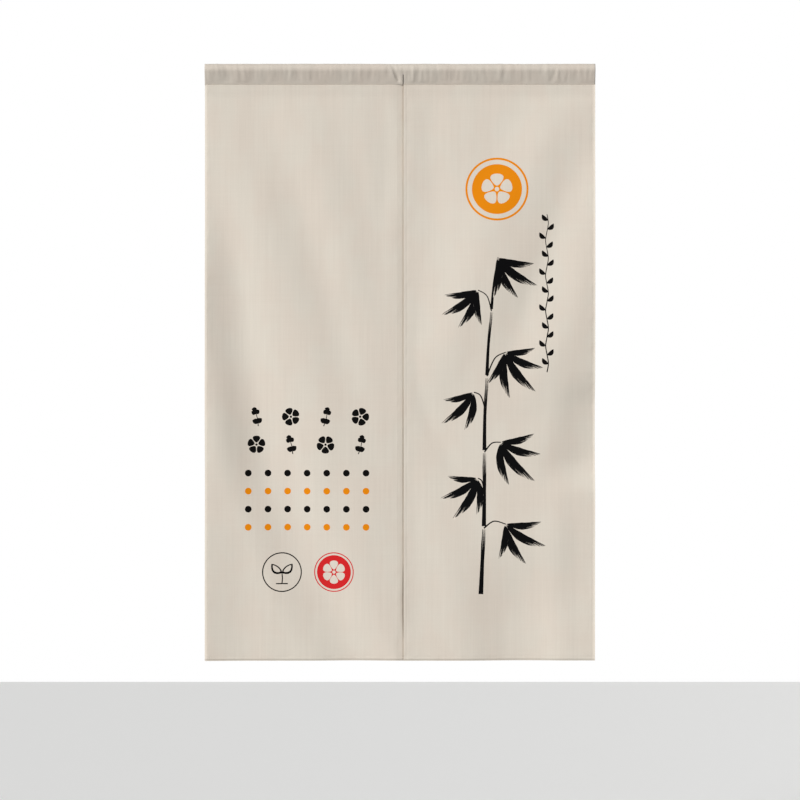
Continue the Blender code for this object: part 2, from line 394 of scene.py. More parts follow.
def leaf(ink, base, tip, width, bend, ragged=0.0, seed=0.0, steps=18):
    """A pointed leaf from base to tip, broadest near its middle, bent to its left."""
    chord = tip - base
    side = np.array([-chord[1], chord[0]])
    t = np.linspace(0.0, 1.0, steps)[:, None]
    spine = base + chord * t + side * (4.0 * bend * t * (1.0 - t))
    profile = (t ** 0.8) * (1.0 - t) ** 0.9 / LEAF_PEAK
    notches = 1.0 + ragged * (np.sin(19.0 * t + seed) + 0.6 * np.sin(43.0 * t + 2.3 * seed))
    half = 0.5 * width * profile * notches * side / hypot(*side)
    ring = np.concatenate([spine + half, (spine - half)[-2:0:-1]])
    return Shape(ink, [ring], base, tip, 0.5 * width)


def stroke(ink, points, widths, steps=10):
    """A brush stroke of varying width along a smooth line through the points."""
    points = [np.array(point, float) for point in points]
    padded = [points[0], *points, points[-1]]
    path, half = [], []
    for index in range(len(points) - 1):
        before, start, end, after = padded[index:index + 4]
        is_last = index == len(points) - 2
        t = np.arange(steps + is_last)[:, None] / steps
        path.append(0.5 * (
            2.0 * start
            + (end - before) * t
            + (2.0 * before - 5.0 * start + 4.0 * end - after) * t * t
            + (3.0 * start - before - 3.0 * end + after) * t ** 3
        ))
        half.append(0.5 * (widths[index] * (1.0 - t) + widths[index + 1] * t))
    path, half = np.concatenate(path), np.concatenate(half)
    along = np.gradient(path, axis=0)
    side = np.stack([-along[:, 1], along[:, 0]], axis=-1)
    side = side / np.linalg.norm(side, axis=1, keepdims=True)
    ring = np.concatenate([path + half * side, (path - half * side)[::-1]])
    return Shape(ink, [ring], path[0], path[-1], float(half.max()))


# A petal: points round it, where it starts, its breadth at its middle and how much more further out,
# as shares of the blossom's radius, and the share of its angle that stays free
PETAL_POINTS = 18
PETAL_START = 0.22
PETAL_BREADTH = 0.42
PETAL_FLARE = 0.2
PETAL_ROUNDING = 0.86
PETAL_GAP = 0.1


def blossom(ink, centre, radius, petals, turn):
    """Round petals about a centre, each one its own ring."""
    around = 2.0 * pi * np.arange(PETAL_POINTS)[:, None] / PETAL_POINTS
    near = PETAL_START * radius
    reach = 0.5 * (near + radius) + 0.5 * (radius - near) * np.cos(around)
    breadth = PETAL_BREADTH + PETAL_FLARE * np.cos(around)
    spread = np.sin(around) * breadth * 2.0 * radius * sin(pi / petals * (1.0 - PETAL_GAP))
    shapes = []
    for index in range(petals):
        angle = turn + 2.0 * pi * index / petals
        out = np.array([cos(angle), sin(angle)])
        side = np.array([-out[1], out[0]])
        shapes.append(plain(ink, centre + out * reach + side * spread * PETAL_ROUNDING))
    return shapes


def sprig(ink, centre, height, turn):
    """A stem with two pairs of leaves and one leaf at its tip, about a centre."""
    up = np.array([sin(turn), cos(turn)])
    side = np.array([up[1], -up[0]])
    foot, crown = centre - 0.5 * height * up, centre + 0.5 * height * up
    bow, stem, width, crown_leaf = 0.05 * height, 0.06 * height, 0.34 * height, 0.18 * height
    shapes = [stroke(ink, [foot, centre + bow * side, crown], [stem, 0.8 * stem, 0.5 * stem])]
    for share in (0.18, 0.76):
        root = foot + (crown - foot) * share + side * bow * (1.0 - abs(2.0 * share - 1.0))
        reach = height * (0.4 - 0.13 * share)
        for sign in (1.0, -1.0):
            tip = root + reach * (0.62 * up + 0.78 * sign * side)
            shapes.append(leaf(ink, root, tip, width, 0.12 * sign))
    shapes.append(leaf(ink, crown - bow * up, crown + crown_leaf * up, 0.9 * width, 0.05))
    return shapes


# A bamboo leaf cluster: where its twig ends, in the photograph's pixels, and a leaf for each angle,
# in degrees from straight right, and length in millimetres
CLUSTERS = [
    (497, 258, [-8, -34, -62, -96], [62, 80, 74, 66]),
    (478, 290, [-172, -146, -118, -84], [56, 72, 70, 58]),
    (505, 352, [8, -22, -52, -84, -120], [50, 68, 82, 76, 60]),
    (474, 392, [-166, -136, -104], [52, 74, 64]),
    (500, 442, [14, -16, -48, -78], [58, 70, 86, 72]),
    (478, 478, [176, -152, -122, -92], [50, 70, 78, 60]),
    (505, 524, [4, -28, -62, -100], [60, 76, 74, 58]),
]

# A cluster's leaves: metres for each millimetre of the table, their distance from the twig's end, their
# width as a share of the length and beyond it, and their bend and ragged edge
LEAF_SCALE = 0.00132
LEAF_GAP = 0.0035
LEAF_WIDTH_SHARE = 0.15
LEAF_LEAST_WIDTH = 0.0035
LEAF_BEND = 0.09
LEAF_RAGGED = 0.03

# Culms and twigs: ink, points in the photograph's pixels, and the widths there in millimetres
CULMS = [
    ("brush", [(481, 594), (482.5, 560), (484, 529)], [10.5, 8.0, 10.0]),
    ("brush", [(484, 526), (484.5, 490), (484.5, 453)], [9.6, 7.4, 9.4]),
    ("brush", [(484.5, 450), (485, 414), (487, 378)], [8.8, 6.8, 8.6]),
    ("brush", [(487, 375), (488.5, 344), (491.5, 312)], [7.8, 6.0, 7.4]),
    ("brush", [(491.5, 309), (494, 282), (498, 257)], [6.4, 4.6, 3.2]),
    ("black", [(484, 528), (494, 521), (506, 524)], [3.4, 2.6, 2.2]),
    ("black", [(484.5, 452), (492, 443), (501, 442)], [3.4, 2.6, 2.2]),
    ("black", [(484.5, 492), (482, 481), (478, 478)], [3.2, 2.6, 2.2]),
    ("black", [(487, 376), (495, 358), (506, 352)], [3.2, 2.6, 2.2]),
    ("black", [(486, 412), (481, 396), (474, 392)], [3.2, 2.6, 2.2]),
    ("black", [(491.5, 311), (487, 296), (478, 290)], [2.8, 2.2, 2.0]),
]


def bamboo():
    """A brush-painted bamboo stem with drooping leaves."""
    shapes = []
    for ink, points, widths in CULMS:
        points = [from_photo(px, py) for px, py in points]
        shapes.append(stroke(ink, points, [0.001 * width for width in widths]))
    for number, (px, py, angles, lengths) in enumerate(CLUSTERS):
        root = from_photo(px, py)
        for index, (angle, length) in enumerate(zip(angles, lengths)):
            turn = angle * pi / 180.0
            reach = LEAF_SCALE * length
            out = np.array([cos(turn), sin(turn)])
            bend = -LEAF_BEND if cos(turn) > 0.0 else LEAF_BEND
            base, tip = root + LEAF_GAP * out, root + reach * out
            width = LEAF_WIDTH_SHARE * reach + LEAF_LEAST_WIDTH
            shapes.append(leaf("brush", base, tip, width, bend, LEAF_RAGGED, number + 1.7 * index, 24))
    return shapes


def blossom_disc(ink, centre, ring_radius, line, radius, petal_reach, petals, core_radius):
    """A solid disc in a thin ring, with a blossom left bare in it."""
    return [
        thin_ring(ink, centre, ring_radius, line),
        plain(ink, circle(centre, radius, 64)),
        *blossom("bare", centre, petal_reach, petals, UPRIGHT),
        plain("bare", circle(centre, core_radius, 20)),
    ]


def sun():
    radii = [pixels * METRES_PER_PIXEL for pixels in (31.5, 2.0, 25.0)]
    return blossom_disc("orange", from_photo(497, 189), *radii, 0.034, 5, 0.0048)


SMALL_RING_RADIUS = 0.0432


def red_disc():
    radius = SMALL_RING_RADIUS - 0.0062
    return blossom_disc("red", from_photo(334, 572), SMALL_RING_RADIUS, 0.0022, radius, 0.0255, 6, 0.0036)


def black_ring():
    """A thin black ring with a seedling in it."""
    centre = from_photo(282, 572)
    foot, fork = centre - [0.0, 0.025], centre - [0.0, 0.002]
    bow = 0.5 * (foot + fork) + [0.001, 0.0]
    shapes = [
        thin_ring("black", centre, SMALL_RING_RADIUS, 0.0025),
        stroke("black", [foot, bow, fork], [0.0026, 0.0024, 0.0022]),
    ]
    for sign in (1.0, -1.0):
        tip = fork + [sign * 0.023, 0.02]
        inset = fork + 0.16 * (tip - fork)
        shapes.append(leaf("black", fork, tip, 0.0175, -0.1 * sign))
        shapes.append(leaf("bare", inset, inset + 0.7 * (tip - fork), 0.0102, -0.1 * sign))
    shapes.append(stroke("black", [foot - [0.013, 0.0], foot + [0.013, 0.0]], [0.0025, 0.0025]))
    return shapes


VINE_SWAY = 0.003
VINE_TURNS = 4.5
VINE_STEPS = 18
VINE_LEAVES = 17


def vine():
    """A slim upright vine with small leaves to either side."""
    top, bottom = from_photo(547, 214), from_photo(547, 372)

    def place(share):
        sway = VINE_SWAY * sin(2.0 * pi * VINE_TURNS * share)
        return np.array([top[0] + sway, top[1] - (top[1] - bottom[1]) * share])

    shares = [step / VINE_STEPS for step in range(VINE_STEPS + 1)]
    widths = [0.0016 + 0.0008 * share for share in shares]
    shapes = [stroke("black", [place(share) for share in shares], widths, 5)]
    for number in range(VINE_LEAVES):
        root = place((number + 0.7) / (VINE_LEAVES + 0.6))
        sign = 1.0 if number % 2 else -1.0
        shapes.append(leaf("black", root, root + [sign * 0.0135, 0.013], 0.0095, -0.15 * sign))
    return shapes


def repeat(px, py, step_px, step_py, columns, rows):
    """The places of an even repeat, with each one's column and row."""
    for row in range(rows):
        for column in range(columns):
            yield from_photo(px + step_px * column, py + step_py * row), column, row


def dots():
    """Rows of seven round dots, black and orange in turn."""
    return [
        plain("orange" if row % 2 else "black", circle(centre, 0.0073, 28))
        for centre, column, row in repeat(248.3, 472.9, 19.64, 18.05, 7, 4)
    ]


def small_motifs():
    """Two rows of four small plant motifs."""
    shapes = []
    for centre, column, row in repeat(256.4, 416.5, 34.63, 27.9, 4, 2):
        if (row + column) % 2:
            shapes += blossom("black", centre, 0.0195, 5, UPRIGHT + 0.3 * column)
            shapes.append(plain("black", circle(centre, 0.0026, 16)))
        else:
            shapes += sprig("black", centre - [0.0, 0.003], 0.036, 0.22 if column > 1 else -0.22)
    return shapes


# Cloth mesh with the print cut into its front

# How far a print patch reaches past its shapes, and keeps grid points from their outlines
PATCH_MARGIN = 0.6 * CELL
OUTLINE_CLEARANCE = 0.22 * CELL
MERGE_DISTANCE = 1e-7


def add_object(name, data):
    made = bpy.data.objects.new(name, data)
    bpy.context.scene.collection.objects.link(made)
    return made


def add_mesh(name, points, faces, materials=()):
    mesh = bpy.data.meshes.new(name)
    mesh.from_pydata(points, [], faces)
    for material in materials:
        mesh.materials.append(material)
    return add_object(name, mesh)


def band(first, second, count, flipped=False):
    """Faces between two closed rings of points, from the number of each ring's first point."""
    faces = []
    for k in range(count):
        after = (k + 1) % count
        quad = (first + k, first + after, second + after, second + k)
        faces.append(quad[:1] + quad[:0:-1] if flipped else quad)
    return faces


def add_uv(made, name, corner_places):
    """A UV map from one place for each corner of each face."""
    layer = made.data.uv_layers.new(name=name)
    layer.data.foreach_set("uv", np.array(corner_places, np.float32).ravel())


def inside(points, rings):
    """Which points lie inside the rings, by the even-odd rule."""
    within = np.zeros(len(points), bool)
    px, py = points[:, 0:1], points[:, 1:2]
    for ring in rings:
        x1, y1 = ring[:, 0], ring[:, 1]
        x2, y2 = np.roll(x1, -1), np.roll(y1, -1)
        spans = (y1 > py) != (y2 > py)
        rise = np.where(y2 == y1, 1e-12, y2 - y1)
        crossing = px < (x2 - x1) * (py - y1) / rise + x1
        within ^= (np.sum(spans & crossing, axis=1) % 2).astype(bool)
    return within


def cut_patch(columns, rows, grid, shapes):
    """One print patch: its cells, points, their indices in the grid, triangles, and each one's shape."""
    outline = np.concatenate([ring for shape in shapes for ring in shape.rings])
    low, high = outline.min(axis=0) - PATCH_MARGIN, outline.max(axis=0) + PATCH_MARGIN
    first_column, last_column = np.searchsorted(columns, [low[0], high[0]]) - [1, 0]
    first_row, last_row = np.searchsorted(rows, [-high[1], -low[1]]) - [1, 0]
    points, known, edges, border = [], [], [], {}
    for row in range(first_row, last_row + 1):
        for column in range(first_column, last_column + 1):
            place = np.array([columns[column], -rows[row]])
            if row in (first_row, last_row) or column in (first_column, last_column):
                border[row, column] = len(points)
            elif np.min(np.hypot(*(outline - place).T)) < OUTLINE_CLEARANCE:
                continue
            points.append(place)
            known.append(grid[row, column])
    for (row, column), where in border.items():
        if row in (first_row, last_row) and column < last_column:
            edges.append((where, border[row, column + 1]))
        if column in (first_column, last_column) and row < last_row:
            edges.append((where, border[row + 1, column]))
    for shape in shapes:
        for ring in shape.rings:
            start, count = len(points), len(ring)
            points += list(ring)
            known += [None] * count
            edges += [(start + k, start + (k + 1) % count) for k in range(count)]
    made = delaunay_2d_cdt([Vector(p) for p in points], edges, [], 0, MERGE_DISTANCE)
    places = np.array([(v.x, v.y) for v in made[0]])
    triangles = np.array([tuple(face) for face in made[2] if len(face) == 3])
    centres = places[triangles].mean(axis=1)
    painted = np.full(len(triangles), -1)
    for number, shape in enumerate(shapes):
        painted[inside(centres, shape.rings)] = number
    in_grid = [next((known[s] for s in source if known[s] is not None), None) for source in made[3]]
    cells = slice(first_row, last_row), slice(first_column, last_column)
    return cells, places, in_grid, triangles, painted


def brush_place(shape, place):
    """How far along and across its stroke a place of the cloth is."""
    if shape.base is None:
        return 0.0, 0.0
    chord = shape.tip - shape.base
    length = hypot(*chord)
    offset = place - shape.base
    along = float(offset @ chord) / length ** 2
    across = float(chord[0] * offset[1] - chord[1] * offset[0]) / length / shape.half_width
    return along, across


class SheetMesh:
    """Gathers a sheet's places and faces, with each corner's place on its brush stroke."""

    def __init__(self):
        self.places, self.faces, self.inks, self.brush = [], [], [], []

    def add_place(self, x, drop):
        self.places.append((x, drop))
        return len(self.places) - 1

    def add_face(self, corners, ink=0, brush=None):
        self.faces.append(tuple(int(c) for c in corners))
        self.inks.append(ink)
        self.brush += brush or [(0.0, 0.0)] * len(corners)


def build_panel(panel, motifs, materials):
    """The panel's fine cloth, closed at its rim, with the print as faces of its front."""
    right_places = slit_places(panel.right_hem) if panel.stand_sign < 0.0 else hem_places(panel.right_hem)
    columns = grid_lines(panel.left, panel.right, hem_places(panel.left_hem), right_places)
    rows = grid_lines(POCKET_DROP - SEAM_TUCK, CURTAIN_DROP, SEAM_PLACES, hem_places(BOTTOM_HEM))
    width = len(columns)
    grid = np.arange(width * len(rows)).reshape(-1, width)
    sheet = SheetMesh()
    sheet.places += [(x, drop) for drop in rows for x in columns]
    cell_corners = grid[:-1, :-1]
    covered = np.zeros_like(cell_corners, bool)
    for shapes in motifs:
        cells, places, in_grid, triangles, painted = cut_patch(columns, rows, grid, shapes)
        covered[cells] = True
        ids = [k if k is not None else sheet.add_place(p[0], -p[1]) for k, p in zip(in_grid, places)]
        for triangle, number in zip(triangles, painted):
            corners = [ids[c] for c in triangle]
            if number < 0:
                sheet.add_face(corners)
                continue
            shape = shapes[number]
            sheet.add_face(corners, INKS.index(shape.ink), [brush_place(shape, places[c]) for c in triangle])
    for corner in cell_corners[~covered]:
        sheet.add_face((corner, corner + width, corner + width + 1, corner + 1))
    front_count = len(sheet.places)
    for corner in cell_corners.ravel() + front_count:
        sheet.add_face((corner, corner + 1, corner + width + 1, corner + width))
    rim = [*grid[0], *grid[1:, -1], *grid[-1, -2::-1], *grid[-2:0:-1, 0]]
    for here, after in zip(rim, rim[1:] + rim[:1]):
        sheet.add_face((here, after, after + front_count, here + front_count))
    return finish_panel(panel, sheet, grid.size, materials)


def finish_panel(panel, sheet, grid_count, materials):
    """Turn the gathered sheet into an object: heights, materials and the two UV maps."""
    places = np.array(sheet.places)
    x, drop = places[:, 0], places[:, 1]
    thickness = cloth_thickness(panel, x, drop)
    edge = np.minimum(np.minimum(x - panel.left, panel.right - x), CURTAIN_DROP - drop)
    radius = 0.5 * thickness
    reach = np.clip(1.0 - edge / radius, 0.0, RIM_SHARE)
    inset = radius * (1.0 - np.sqrt(1.0 - reach * reach))
    face_y = -(surface_rise(panel, x, drop) + 0.5 * CLOTH_THICKNESS)
    front = np.stack([x, face_y + inset, height_of(drop)], axis=-1)
    back = np.stack([x, face_y + thickness - inset, height_of(drop)], axis=-1)[:grid_count]
    made = add_mesh(f"{panel.name}_cloth", np.concatenate([front, back]).tolist(), sheet.faces, materials)
    made.data.polygons.foreach_set("material_index", np.array(sheet.inks, np.int32))
    flat = np.concatenate([places, places[:grid_count]]) * [1.0, -1.0]
    add_uv(made, "cloth", flat[[c for face in sheet.faces for c in face]])
    add_uv(made, "brush", sheet.brush)
    made.data.shade_smooth()
    return made


# Rod pocket

def pocket_section(radius, foot_half_width, foot_z):
    """Points (y, z) from the front foot, over the rod, to the back foot."""
    lean = atan(foot_half_width / -foot_z)
    tangent_angle = -0.5 * pi - lean - acos(radius / hypot(foot_half_width, foot_z))
    sweep = -2.0 * (pi + tangent_angle) - pi
    angles = tangent_angle + sweep * np.arange(POCKET_ARC_STEPS + 1) / POCKET_ARC_STEPS
    arc = radius * np.stack([np.cos(angles), np.sin(angles)], axis=-1)
    foot = np.array([-foot_half_width, foot_z])
    side = foot + (arc[0] - foot) * (np.arange(POCKET_SIDE_STEPS) / POCKET_SIDE_STEPS)[:, None]
    return np.concatenate([side, arc, side[::-1] * [-1.0, 1.0]])


def pocket_relief(x, y, z):
    """How far the pocket's cloth stands out: slack sides, fine gathers and the named creases."""
    seam_z = height_of(POCKET_DROP - SEAM_HEIGHT)
    share = np.clip((z - seam_z) / (POCKET_SIDE_TOP - seam_z), 0.0, 1.0)
    slack = np.sin(pi * share) ** 0.7
    points = np.stack([x, z + BACK_NOISE_SHIFT * np.sign(y)], axis=-1)
    relief = uneven(points, POCKET_WAVES) * (POCKET_LEAST_RELIEF + (1.0 - POCKET_LEAST_RELIEF) * slack)
    top_share = np.clip((z - seam_z) / (POCKET_RADIUS - seam_z), 0.0, 1.0)
    for top_x, foot_x, half_width, rise in POCKET_CREASES:
        crest_x = foot_x + (top_x - foot_x) * top_share
        relief = relief + np.where(y < 0.0, rise, 0.0) * slack * hump(x - crest_x, half_width)
    return relief * np.clip(share * 8.0, 0.0, 1.0)


def pocket_stations():
    """Places along the pocket: even, but close together by the slit."""
    half = 0.5 * CURTAIN_WIDTH
    fine_low, fine_high = SLIT_X - POCKET_FINE_LEFT, SLIT_X + POCKET_FINE_RIGHT
    coarse_left = np.linspace(-half, fine_low, round((fine_low + half) / POCKET_STEP), endpoint=False)
    fine = np.arange(fine_low, fine_high, 0.5 * POCKET_STEP)
    coarse_right = np.linspace(fine_high, half, round((half - fine_high) / POCKET_STEP) + 1)
    return np.concatenate([coarse_left, fine, coarse_right])


def build_pocket(material):
    """The sleeve round the rod: open at its ends and slit at the middle of its front."""
    foot_z = height_of(POCKET_DROP)
    outer = pocket_section(POCKET_RADIUS, FOOT_HALF_WIDTH, foot_z)
    inner = pocket_section(POCKET_RADIUS - POCKET_CLOTH, CREASE_HALF_WIDTH, foot_z + SEAM_HEIGHT)
    out = outer / np.linalg.norm(outer, axis=1, keepdims=True)
    out[outer[:, 1] < 0.0, 1] = 0.0
    out = out / np.linalg.norm(out, axis=1, keepdims=True)
    around = np.concatenate([[0.0], np.cumsum(np.hypot(*np.diff(outer, axis=0).T))])
    count = len(outer)
    stations = pocket_stations()
    points, flat = [], []
    for x in stations:
        relief = pocket_relief(np.full(count, x), outer[:, 0], outer[:, 1])
        for section in (outer, inner):
            points += [(x, y, z) for y, z in section + out * relief[:, None]]
            flat += [(x, a) for a in around]
    last = len(points) - 2 * count
    faces = band(0, count, count, True) + band(last, last + count, count)
    for first in range(0, last, 2 * count):
        faces += band(first, first + 2 * count, count)
        faces += band(first + count, first + 3 * count, count, True)
    pocket = add_mesh("pocket_cloth", points, faces, [material])
    add_uv(pocket, "cloth", np.array(flat)[[c for face in faces for c in face]])
    pocket.data.shade_smooth()
    cut_pocket_slit(pocket)
    return pocket


def cut_pocket_slit(pocket):
    """Open the pocket's front layer above the slit between the panels, a little narrower at the top."""
    top = height_of(POCKET_SLIT_TOP_DROP)
    bottom = height_of(POCKET_DROP) - 0.002
    half = 0.5 * POCKET_SLIT_WIDTH
    middle = SLIT_X + POCKET_SLIT_SHIFT
    tip = [(half, top - 0.004), (0.15 * half, top), (-0.35 * half, top - 0.002)]
    outline = [(-half, bottom), (half, bottom), *tip]
    count = len(outline)
    points = [(middle + x, y, z) for y in (-2.0 * POCKET_RADIUS, 0.0) for x, z in outline]
    faces = [tuple(range(count)), tuple(reversed(range(count, 2 * count)))]
    cutter = add_mesh("pocket_slit_cutter", points, faces + band(0, count, count, True))
    cut = pocket.modifiers.new("slit", "BOOLEAN")
    cut.operation = "DIFFERENCE"
    cut.solver = "EXACT"
    cut.object = cutter
    bpy.context.view_layer.update()
    evaluated = pocket.evaluated_get(bpy.context.evaluated_depsgraph_get())
    finished = bpy.data.meshes.new_from_object(evaluated)
    pocket.modifiers.clear()
    pocket.data = finished
    bpy.data.objects.remove(cutter)


# Stitches

def stitch_mesh(name, lines, front_y, material):
    """A piece's stitches along straight (x, drop) lines: each a short thread that dips at both ends."""

    def on_cloth(places):
        x, drop = places.T
        return np.stack([x, front_y(x, drop), height_of(drop)], axis=-1)

    stitches = []
    for start, end in np.array(lines):
        length = hypot(*(end - start))
        along = (end - start) / length
        starts = start + along * (np.arange(int(length / STITCH_PITCH))[:, None] * STITCH_PITCH)
        stitches += zip(on_cloth(starts), on_cloth(starts + along * STITCH_LENGTH))
    points, faces = [], []
    out = Vector((0.0, -1.0, 0.0))
    for start, end in stitches:
        start, end = Vector(start), Vector(end)
        side = (end - start).normalized().cross(out).normalized()
        first = len(points)
        for share, size, lift in STITCH_RINGS:
            centre = start.lerp(end, share) + out * (lift * STITCH_RADIUS)
            radius = size * STITCH_RADIUS
            for k in range(STITCH_SIDES):
                angle = 2.0 * pi * k / STITCH_SIDES
                offset = side * (cos(angle) * radius) + out * (STITCH_FLATNESS * sin(angle) * radius)
                points.append(centre + offset)
        last = first + (len(STITCH_RINGS) - 1) * STITCH_SIDES
        for low in range(first, last, STITCH_SIDES):
            faces += band(low, low + STITCH_SIDES, STITCH_SIDES)
        faces.append(tuple(first + k for k in reversed(range(STITCH_SIDES))))
        faces.append(tuple(last + k for k in range(STITCH_SIDES)))
    made = add_mesh(name, points, faces, [material])
    made.data.shade_smooth()
    return made


def panel_stitches(panel, material):
    """The stitches of the panel's side and bottom hems."""
    left_x, right_x, bottom_drop = stitch_places(panel)
    top_drop = POCKET_DROP + STITCH_START
    left_foot, right_foot = (left_x, bottom_drop), (right_x, bottom_drop)
    lines = [((left_x, top_drop), left_foot), ((right_x, top_drop), right_foot), (left_foot, right_foot)]

    def front_y(x, drop):
        return -surface_rise(panel, x, drop) - 0.5 * CLOTH_THICKNESS

    return stitch_mesh(f"{panel.name}_stitches", lines, front_y, material)


def pocket_stitches(material):
    """The row along the front of the pocket's seam, open at the slit."""
    drop = POCKET_DROP - POCKET_STITCH_HEIGHT
    stand = FOOT_HALF_WIDTH + POCKET_STITCH_HEIGHT * POCKET_SIDE_LEAN
    half, gap = 0.5 * CURTAIN_WIDTH - POCKET_STITCH_END_GAP, POCKET_STITCH_SLIT_GAP
    lines = [((-half, drop), (SLIT_X - gap, drop)), ((SLIT_X + gap, drop), (half, drop))]
    return stitch_mesh("pocket_stitches", lines, lambda x, drop: np.full_like(x, -stand), material)


# Materials

class Nodes:
    """A short way to add linked nodes to a tree."""

    def __init__(self, tree):
        self.tree = tree

    def feed(self, node, inputs):
        """Set or link a node's inputs, by name or number."""
        for name, value in inputs.items():
            if isinstance(value, bpy.types.NodeSocket):
                self.tree.links.new(value, node.inputs[name])
            else:
                node.inputs[name].default_value = value

    def add(self, kind, inputs={}, **settings):
        """A new shader node with its inputs and settings."""
        node = self.tree.nodes.new("ShaderNode" + kind)
        for name, value in settings.items():
            setattr(node, name, value)
        self.feed(node, inputs)
        return node

    def math(self, operation, *values):
        return self.add("Math", dict(enumerate(values)), operation=operation).outputs[0]

    def weigh(self, value, weight, added):
        """Value times weight, plus something."""
        return self.math("MULTIPLY_ADD", value, weight, added)

    def blend(self, kind, share, first, second):
        """Mix two colours, which are the mix node's inputs 6 and 7 and its output 2."""
        inputs = {0: share, 6: first, 7: second}
        return self.add("Mix", inputs, data_type="RGBA", blend_type=kind).outputs[2]

    def noise(self, place, scale, detail, roughness):
        """Noise with its own scale in each direction."""
        place = self.add("Mapping", {"Vector": place, "Scale": scale}).outputs["Vector"]
        inputs = {"Vector": place, "Scale": 1.0, "Detail": detail, "Roughness": roughness}
        return self.add("TexNoise", inputs).outputs["Fac"]

    def ramp(self, value, low, high):
        """0 below low, 1 above high, smooth between."""
        inputs = {"Value": value, "From Min": low, "From Max": high}
        return self.add("MapRange", inputs, interpolation_type="SMOOTHSTEP").outputs[0]

    def bump(self, shader, height, strength, distance):
        """Raise the shader's surface by a height."""
        inputs = {"Strength": strength, "Distance": distance, "Height": height}
        self.feed(shader, {"Normal": self.add("Bump", inputs).outputs["Normal"]})


# The weave: how fine it is, and how its threads, uneven places and bands count in height and tone; the
# threads' part of the tone is painted shade, lighter on their crowns and darker in the gaps between them
THREADS_PER_METRE = 1150.0
WEFT_SLUB_SHARE = 0.5
WEFT_BAND_SHARE = 0.4
SLUB_HEIGHT = 0.9
BAND_HEIGHT = 0.5
SLUB_SHADE = 0.42
BAND_SHADE = 0.26
PAINTED_THREAD_GAP_SHADE = 0.1
BASE_SHADE = 0.5
SHADE_RANGE = (0.7, 1.35)
MOTTLE_RANGE = (0.35, 0.65)
MOTTLE_TINT = (1.0, 0.975, 0.97, 1.0)
WEAVE_DEPTH = 0.00012

CLOTH_LIGHT = (0.71, 0.652, 0.566, 1.0)
CLOTH_DARK = (0.65, 0.594, 0.512, 1.0)
# The heading's two tones are darker than the panels': painted shade for the shadow over the rod pocket.
SHADED_HEADING_LIGHT = (0.615, 0.56, 0.487, 1.0)
SHADED_HEADING_DARK = (0.568, 0.514, 0.444, 1.0)
THREAD_LIGHT = (0.76, 0.7, 0.62, 1.0)
THREAD_DARK = (0.6, 0.54, 0.45, 1.0)

# Bare and inked cloth
BARE_FINISH = {"Roughness": 0.88, "Specular IOR Level": 0.25, "Sheen Weight": 0.08}
INK_FINISH = {"Roughness": 0.72, "Specular IOR Level": 0.05, "Sheen Weight": 0.0}
WEAVE_STRENGTH = 0.55
INKED_WEAVE_STRENGTH = 0.4
INK_COVER = 0.94
INK_COVER_BY_HEIGHT = 0.05

# Dry brush: its streaks' scale, where it dries along a stroke and across it, how much bare cloth it
# leaves when wet, when dry and at its edge, and how soft its streaks end
STREAK_SCALE = (1.6, 7.0, 1.0)
DRY_ALONG = (0.45, 1.05)
DRY_ACROSS = (0.55, 1.3)
WET_LIMIT = 0.22
DRY_LIMIT = 0.3
EDGE_LIMIT = 0.1
STREAK_SOFTNESS = (-0.02, 0.05)


def uv_place(n, name):
    """A UV map's place, and its two parts."""
    place = n.add("UVMap", uv_map=name).outputs["UV"]
    split = n.add("SeparateXYZ", {0: place})
    return place, split.outputs["X"], split.outputs["Y"]


def weave_group():
    """Height and tone of a plain weave with uneven threads, from the cloth's own UV map; the tone holds
    painted shade in the gaps between threads.
    """
    group = bpy.data.node_groups.new("plain_weave", "ShaderNodeTree")
    n = Nodes(group)
    place, across, down = uv_place(n, "cloth")
    warp_slub = n.noise(place, (420.0, 9.0, 1.0), 2.0, 0.55)
    weft_slub = n.noise(place, (9.0, 420.0, 1.0), 2.0, 0.55)
    warp_band = n.noise(place, (150.0, 3.0, 1.0), 1.0, 0.5)
    weft_band = n.noise(place, (3.0, 150.0, 1.0), 1.0, 0.5)
    mottle = n.noise(place, (14.0, 9.0, 1.0), 2.0, 0.5)
    warp_wave = n.math("SINE", n.weigh(across, THREADS_PER_METRE * pi, warp_slub))
    weft_wave = n.math("SINE", n.weigh(down, THREADS_PER_METRE * pi, weft_slub))
    over = n.weigh(n.math("MULTIPLY", warp_wave, weft_wave), 0.5, 0.5)
    warp_round = n.math("MULTIPLY", n.math("ABSOLUTE", warp_wave), over)
    weft_round = n.math("MULTIPLY", n.math("ABSOLUTE", weft_wave), n.math("SUBTRACT", 1.0, over))
    threads = n.math("MAXIMUM", warp_round, weft_round)
    slubs = n.weigh(weft_slub, WEFT_SLUB_SHARE, warp_slub)
    bands = n.weigh(weft_band, WEFT_BAND_SHARE, warp_band)
    height = n.weigh(slubs, SLUB_HEIGHT, n.weigh(bands, BAND_HEIGHT, threads))
    streaks = n.weigh(bands, BAND_SHADE, n.weigh(slubs, SLUB_SHADE, BASE_SHADE))
    # Painted shade: thread crowns lighter and the gaps between threads darker; slubs and bands are the
    # cloth's own uneven tone.
    shade = n.weigh(threads, PAINTED_THREAD_GAP_SHADE, streaks)
    results = {"Height": height, "Shade": shade, "Mottle": mottle}
    for name in results:
        group.interface.new_socket(name, in_out="OUTPUT", socket_type="NodeSocketFloat")
    n.feed(group.nodes.new("NodeGroupOutput"), results)
    return group


def new_material(name):
    """A material with its nodes and its shader."""
    material = bpy.data.materials.new(name)
    material.use_nodes = True
    return material, Nodes(material.node_tree), material.node_tree.nodes["Principled BSDF"]


